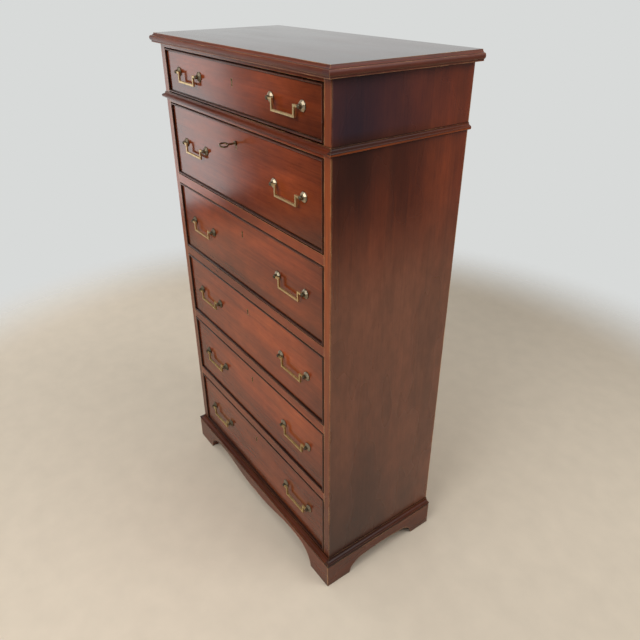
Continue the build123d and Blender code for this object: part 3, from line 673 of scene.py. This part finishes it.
class ChestStage(bpy.types.PropertyGroup):
    camera_place: bpy.props.FloatVectorProperty(
        name="Camera place", description="Where the camera stands", subtype="TRANSLATION",
        unit="LENGTH", default=(1.0998, -0.7282, 1.3228))
    camera_turn: bpy.props.FloatVectorProperty(
        name="Camera turn", description="How the camera is turned", subtype="EULER",
        unit="ROTATION",
        default=(math.radians(61.316), math.radians(0.174), math.radians(54.033)))
    camera_lens: bpy.props.FloatProperty(
        name="Lens", description="Focal length", subtype="DISTANCE_CAMERA", default=33.66)
    camera_rise: bpy.props.FloatProperty(
        name="Rise", description="Upright shift of the lens, as the photograph is framed",
        default=-0.034)
    key_power: power_setting("Key lamp", "Large soft lamp high in front", 37)
    ceiling_power: power_setting("Ceiling lamp", "Wide soft lamp overhead", 28)
    window_power: power_setting("Window lamp", "Pale panel on the left that the fronts reflect", 13)
    side_power: power_setting("Side lamp", "Soft lamp high on the right, behind", 28)
    fill: bpy.props.FloatProperty(
        name="Fill", description="Level of the even light from all round", min=0, default=0.28)
    floor_radius: length_setting("Floor", "Radius of the floor", 2700)
    floor_colour: colour_setting("Floor colour", "Pale plain floor", "#d6c8b4")
    wall_colour: colour_setting("Wall colour", "Pale background", "#d8dad9")
    mirrored_colour: colour_setting("Mirrored wall", "Wall and ceiling, as the polish mirrors them",
                                    "#e0e2e1")
    shade_colour: colour_setting("Shade colour", "Darker end of the room, in front", "#4c4c4e")


# Carcase

class CHEST_OT_carcase(bpy.types.Operator):
    """Polish the carcase boards and mouldings and ease their edges"""
    bl_idname = "chest.carcase"
    bl_label = "Carcase"

    def execute(self, context):
        detail = context.scene.chest_detail
        for name in ("left_side", "right_side"):
            dress(name, finish_named("mahogany_sides"), detail.arris / 2)
        dress("drawer_rails", finish_named("mahogany_rails"), detail.arris / 2)
        dress("top_board", finish_named("mahogany_top"), detail.moulding_arris)
        dress("waist_moulding", finish_named("mahogany_waist"), detail.moulding_arris)
        dress("base_moulding", finish_named("mahogany_base"), detail.moulding_arris)
        dress("plinth", finish_named("mahogany_plinth"), detail.arris / 2)
        dress("back_boards", finish_named("pine_upright"), detail.arris / 2)
        dress("corner_blocks", finish_named("pine_upright"), detail.arris)
        dress("drawer_runners", finish_named("pine_drawer_box"), detail.arris / 2)
        dress("dust_boards", finish_named("pine_across"), detail.arris / 2)
        return {"FINISHED"}


class CHEST_OT_back_nails(bpy.types.Operator):
    """Nail the back boards at the top, the middle and the bottom"""
    bl_idname = "chest.back_nails"
    bl_label = "Back nails"

    def execute(self, context):
        radius = context.scene.chest_detail.nail_radius
        low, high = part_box("back_boards")
        pitch = (high[0] - low[0]) / BACK_BOARDS
        levels = (low[2] + NAIL_ABOVE_FOOT, (low[2] + high[2]) / 2, high[2] - NAIL_BELOW_TOP)
        flat_on_back = Matrix.Rotation(math.radians(-90), 4, "X")
        mesh = bmesh.new()
        for number in range(BACK_BOARDS):
            for across in NAIL_PLACES:
                for level in levels:
                    spot = (low[0] + (number + across) * pitch, high[1] + NAIL_RISE, level)
                    bmesh.ops.create_cone(mesh, cap_ends=True, segments=NAIL_SEGMENTS,
                                          radius1=radius, radius2=radius * NAIL_TAPER,
                                          depth=NAIL_DEPTH,
                                          matrix=Matrix.Translation(spot) @ flat_on_back)
        place_piece("back_nails", mesh, "carcase", finish_named("dulled_iron"))
        return {"FINISHED"}


# Drawers

class CHEST_OT_drawers(bpy.types.Operator):
    """Polish the drawer fronts and cock beads and leave the boxes in bare pine"""
    bl_idname = "chest.drawers"
    bl_label = "Drawers"

    def execute(self, context):
        detail = context.scene.chest_detail
        for drawer, tone in zip(DRAWERS, FRONT_TONES):
            polish = mahogany("mahogany_" + drawer, "along_x", tone, FRONT_GLOSS,
                              panel=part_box(drawer + "_front"))
            dress(drawer + "_front", polish, detail.arris / 3)
            dress(drawer + "_cock_bead", finish_named("mahogany_beads"), detail.bead_arris, 3)
            dress(drawer + "_box", finish_named("pine_drawer_box"), detail.arris / 3)
        return {"FINISHED"}


class CHEST_OT_handles(bpy.types.Operator):
    """Finish the handle posts and bails in aged brass, darker on the lower drawers"""
    bl_idname = "chest.handles"
    bl_label = "Handles"

    def execute(self, context):
        width = context.scene.chest_detail.brass_arris
        for drawer in DRAWERS:
            posts = "tarnished_brass" if drawer in DRAWERS[:2] else "blackened_brass"
            bails = "aged_brass" if drawer in DRAWERS[:3] else "olive_brass"
            dress(drawer + "_handle_posts", finish_named(posts), width)
            for hand in HANDS:
                dress("%s_bail_%s" % (drawer, hand), finish_named(bails), width, 3)
        return {"FINISHED"}


# Locks and key

def keyhole_line(eye, face, margin):
    """Points round a keyhole: a round eye with a slot below it, grown by a margin."""
    eye_radius, slot_half = KEYHOLE_EYE + margin, KEYHOLE_HALF + margin
    slot_middle = KEYHOLE_HALF - KEYHOLE_SLOT
    meet = math.asin(slot_half / eye_radius)
    points = []
    for step in range(EYE_STEPS + 1):
        angle = -math.pi / 2 + meet + step / EYE_STEPS * (2 * math.pi - 2 * meet)
        points.append((eye_radius * math.cos(angle), eye_radius * math.sin(angle)))
    for step in range(SLOT_STEPS + 1):
        angle = math.pi + step / SLOT_STEPS * math.pi
        points.append((slot_half * math.cos(angle), slot_middle + slot_half * math.sin(angle)))
    return [(x, face, eye + z) for x, z in points]


def band_faces(mesh, ring, after):
    """Faces between two closed rings of points."""
    faces = []
    for spot in range(len(ring)):
        follow = (spot + 1) % len(ring)
        faces.append(mesh.faces.new((ring[spot], ring[follow], after[follow], after[spot])))
    return faces


class CHEST_OT_locks(bpy.types.Operator):
    """Finish the locks and bolts, line each keyhole with brass and screw the locks on"""
    bl_idname = "chest.locks"
    bl_label = "Locks"

    def execute(self, context):
        detail = context.scene.chest_detail
        for drawer in DRAWERS:
            dress(drawer + "_lock", finish_named("aged_brass"), detail.brass_arris)
            dress(drawer + "_lock_bolt", finish_named("aged_brass"), detail.brass_arris)
            self.line_keyhole(drawer, detail.liner_width)
            self.screw_lock(drawer, detail.screw_radius)
        return {"FINISHED"}

    def line_keyhole(self, drawer, width):
        """A brass liner whose rim stands a little proud of the front."""
        low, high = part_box(drawer + "_front")
        eye = high[2] - (TOP_KEYHOLE_DROP if drawer == DRAWERS[0] else KEYHOLE_DROP)
        proud, sunk = low[1] - LINER_PROUD, low[1] + LINER_SUNK
        mesh = bmesh.new()
        rings = []
        for margin, depth in ((0, sunk), (0, proud), (width, proud), (width, sunk)):
            rings.append([mesh.verts.new(point) for point in keyhole_line(eye, depth, margin)])
        for ring, after in zip(rings, rings[1:] + rings[:1]):
            band_faces(mesh, ring, after)
        bmesh.ops.recalc_face_normals(mesh, faces=mesh.faces)
        place_piece(drawer + "_keyhole_liner", mesh, drawer, finish_named("aged_brass"))

    def screw_lock(self, drawer, radius):
        """Slotted screws in the lock's plate and in its top edge."""
        low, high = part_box(drawer + "_lock")
        flat_on_plate = Matrix.Rotation(math.radians(-90), 4, "X")
        mesh = bmesh.new()
        for x in (low[0] + SCREW_INSET, high[0] - SCREW_INSET):
            for z in (low[2] + SCREW_INSET, high[2] - 2 * SCREW_INSET):
                self.screw_head(mesh, Matrix.Translation((x, high[1], z)) @ flat_on_plate, radius)
            self.screw_head(mesh, Matrix.Translation((x, (low[1] + high[1]) / 2, high[2])), radius)
        place_piece(drawer + "_lock_screws", mesh, drawer, finish_named("dulled_iron"))

    def screw_head(self, mesh, place, radius):
        """A low head in two halves with the slot between them."""
        start = math.asin(SCREW_SLOT / radius)
        for hand in (-1, 1):
            edge = hand * SCREW_SLOT
            rim, inner = [], []
            for step in range(SCREW_STEPS + 1):
                angle = start + step / SCREW_STEPS * (math.pi - 2 * start)
                x, y = radius * math.cos(angle), hand * radius * math.sin(angle)
                rim.append((x, y, 0))
                inner.append((x * SCREW_TAPER, edge + (y - edge) * SCREW_TAPER, SCREW_RISE))
            lower = [mesh.verts.new(place @ Vector(point)) for point in rim]
            upper = [mesh.verts.new(place @ Vector(point)) for point in inner]
            faces = [mesh.faces.new(upper), mesh.faces.new(lower)]
            faces += band_faces(mesh, lower, upper)
            bmesh.ops.recalc_face_normals(mesh, faces=faces)


class CHEST_OT_key(bpy.types.Operator):
    """Finish the key in dulled iron"""
    bl_idname = "chest.key"
    bl_label = "Key"

    def execute(self, context):
        dress("key", finish_named("dulled_iron"), context.scene.chest_detail.brass_arris, 3)
        return {"FINISHED"}


# Stage

def floor_finish(stage):
    """Plain pale screed, matt, that fades out into the background towards its rim."""
    material = blank_material("pale_screed")
    tree = material.node_tree
    place = add(tree, "ShaderNodeTexCoord").outputs["Object"]
    trowelled = add(tree, "ShaderNodeTexNoise",
                    {"Vector": place, "Scale": 1 / TROWEL_WIDTH, "Detail": 5.0})
    level = add(tree, "ShaderNodeMapRange",
                {"Value": trowelled.outputs["Fac"], "To Min": TROWELLED[0],
                 "To Max": TROWELLED[1]})
    colour = add(tree, "ShaderNodeHueSaturation", {"Color": stage.floor_colour, "Value": level})
    matt = add(tree, "ShaderNodeBsdfPrincipled", {"Base Color": colour, "Roughness": 0.8})
    clear = add(tree, "ShaderNodeBsdfTransparent")
    # the eye sees the floor out to about two thirds of its radius, and the polish mirrors all of it
    away = add(tree, "ShaderNodeVectorMath", {0: place}, operation="LENGTH")
    path = add(tree, "ShaderNodeLightPath").outputs
    reach = add(tree, "ShaderNodeMapRange",
                {"Value": path["Is Camera Ray"], "To Min": 1.0, "To Max": FLOOR_SEEN})
    share = add(tree, "ShaderNodeMath", {0: away, 1: stage.floor_radius}, operation="DIVIDE")
    drawn = add(tree, "ShaderNodeMath", {0: share, 1: reach}, operation="DIVIDE")
    fade = add(tree, "ShaderNodeMapRange",
               {"Value": drawn, "From Min": FLOOR_FADE[0], "From Max": FLOOR_FADE[1]},
               interpolation_type="SMOOTHSTEP")
    blend = add(tree, "ShaderNodeMixShader", {0: fade, 1: matt, 2: clear})
    add(tree, "ShaderNodeOutputMaterial", {0: blend})
    return material


def light_room(stage):
    """A pale room: the same wall all round for the eye, and darker in front for reflections."""
    world = bpy.data.worlds.new("pale_room")
    bpy.context.scene.world = world
    world.use_nodes = True
    tree = world.node_tree
    tree.nodes.clear()
    heading = add(tree, "ShaderNodeTexCoord").outputs["Generated"]
    behind = add(tree, "ShaderNodeVectorMath", {0: heading, 1: WALL_HEADING},
                 operation="DOT_PRODUCT")
    back = add(tree, "ShaderNodeMapRange",
               {"Value": behind, "From Min": WALL_EDGE[0], "From Max": WALL_EDGE[1]},
               interpolation_type="SMOOTHSTEP")
    walls = add(tree, "ShaderNodeMix",
                {"Factor": back, 6: stage.shade_colour, 7: stage.mirrored_colour}, data_type="RGBA")
    up = add(tree, "ShaderNodeSeparateXYZ", {0: heading}).outputs[2]
    above = add(tree, "ShaderNodeMapRange",
                {"Value": up, "From Min": CEILING_EDGE[0], "From Max": CEILING_EDGE[1]},
                interpolation_type="SMOOTHSTEP")
    room = add(tree, "ShaderNodeMix", {"Factor": above, 6: walls, 7: stage.mirrored_colour},
               data_type="RGBA")
    path = add(tree, "ShaderNodeLightPath").outputs
    seen = add(tree, "ShaderNodeBackground", {"Color": stage.wall_colour, "Strength": 1.0})
    mirrored = add(tree, "ShaderNodeBackground", {"Color": room, "Strength": 1.0})
    even = add(tree, "ShaderNodeBackground", {"Color": stage.wall_colour, "Strength": stage.fill})
    shiny = add(tree, "ShaderNodeMath", {0: path["Is Glossy Ray"], 1: path["Is Transmission Ray"]},
                operation="MAXIMUM")
    lit = add(tree, "ShaderNodeMixShader", {0: shiny, 1: even, 2: mirrored})
    shown = add(tree, "ShaderNodeMixShader", {0: path["Is Camera Ray"], 1: lit, 2: seen})
    add(tree, "ShaderNodeOutputWorld", {0: shown})


def soft_lamp(name, place, target, size, power):
    """A rectangular lamp aimed at a target."""
    data = bpy.data.lights.new(name, "AREA")
    data.shape = "RECTANGLE"
    data.size, data.size_y = size
    data.energy = power
    lamp = bpy.data.objects.new(name, data)
    bpy.context.scene.collection.objects.link(lamp)
    lamp.location = place
    lamp.rotation_euler = (Vector(target) - Vector(place)).to_track_quat("-Z", "Y").to_euler()


class CHEST_OT_stage(bpy.types.Operator):
    """Set up the floor, the lamps, the pale room and the camera"""
    bl_idname = "chest.stage"
    bl_label = "Stage"

    def execute(self, context):
        stage = context.scene.chest_stage
        self.lay_floor(context, stage)
        light_room(stage)
        for name, (place, target, size, power) in LAMPS.items():
            soft_lamp(name, place, target, size, getattr(stage, power))
        bpy.data.lights["side_lamp"].specular_factor = SIDE_GLINT
        self.set_camera(context, stage)
        context.scene.view_settings.view_transform = "Standard"
        return {"FINISHED"}

    def lay_floor(self, context, stage):
        """A round floor, just under the feet."""
        mesh = bmesh.new()
        bmesh.ops.create_circle(mesh, cap_ends=True, segments=FLOOR_SEGMENTS,
                                radius=stage.floor_radius)
        data = bpy.data.meshes.new("floor")
        mesh.to_mesh(data)
        mesh.free()
        data.materials.append(floor_finish(stage))
        floor = bpy.data.objects.new("floor", data)
        floor.location.z = -FLOOR_DROP
        context.scene.collection.objects.link(floor)

    def set_camera(self, context, stage):
        """The camera, where the photograph was taken from."""
        data = bpy.data.cameras.new("camera")
        data.lens = stage.camera_lens
        data.shift_y = stage.camera_rise
        camera = bpy.data.objects.new("camera", data)
        camera.location = stage.camera_place
        camera.rotation_euler = stage.camera_turn
        context.scene.collection.objects.link(camera)
        context.scene.camera = camera


class CHEST_PT_panel(bpy.types.Panel):
    """The steps that dress the chest, in order"""
    bl_idname = "CHEST_PT_panel"
    bl_label = "Chest of drawers"
    bl_space_type = "VIEW_3D"
    bl_region_type = "UI"
    bl_category = "Chest"

    def draw(self, context):
        for operator in OPERATORS:
            self.layout.operator(operator.bl_idname)


SETTINGS = {"chest_finish": ChestFinish, "chest_detail": ChestDetail, "chest_stage": ChestStage}
OPERATORS = (CHEST_OT_carcase, CHEST_OT_back_nails, CHEST_OT_drawers, CHEST_OT_handles,
             CHEST_OT_locks, CHEST_OT_key, CHEST_OT_stage)


def register():
    for group in SETTINGS.values():
        bpy.utils.register_class(group)
    for name, group in SETTINGS.items():
        setattr(bpy.types.Scene, name, bpy.props.PointerProperty(type=group))
    for operator in OPERATORS:
        bpy.utils.register_class(operator)
    bpy.utils.register_class(CHEST_PT_panel)


def unregister():
    bpy.utils.unregister_class(CHEST_PT_panel)
    for operator in reversed(OPERATORS):
        bpy.utils.unregister_class(operator)
    for name, group in SETTINGS.items():
        delattr(bpy.types.Scene, name)
        bpy.utils.unregister_class(group)


def main():
    register()
    bpy.ops.chest.carcase()
    bpy.ops.chest.back_nails()
    bpy.ops.chest.drawers()
    bpy.ops.chest.handles()
    bpy.ops.chest.locks()
    bpy.ops.chest.key()
    bpy.ops.chest.stage()


if __name__ == "__main__":
    main()
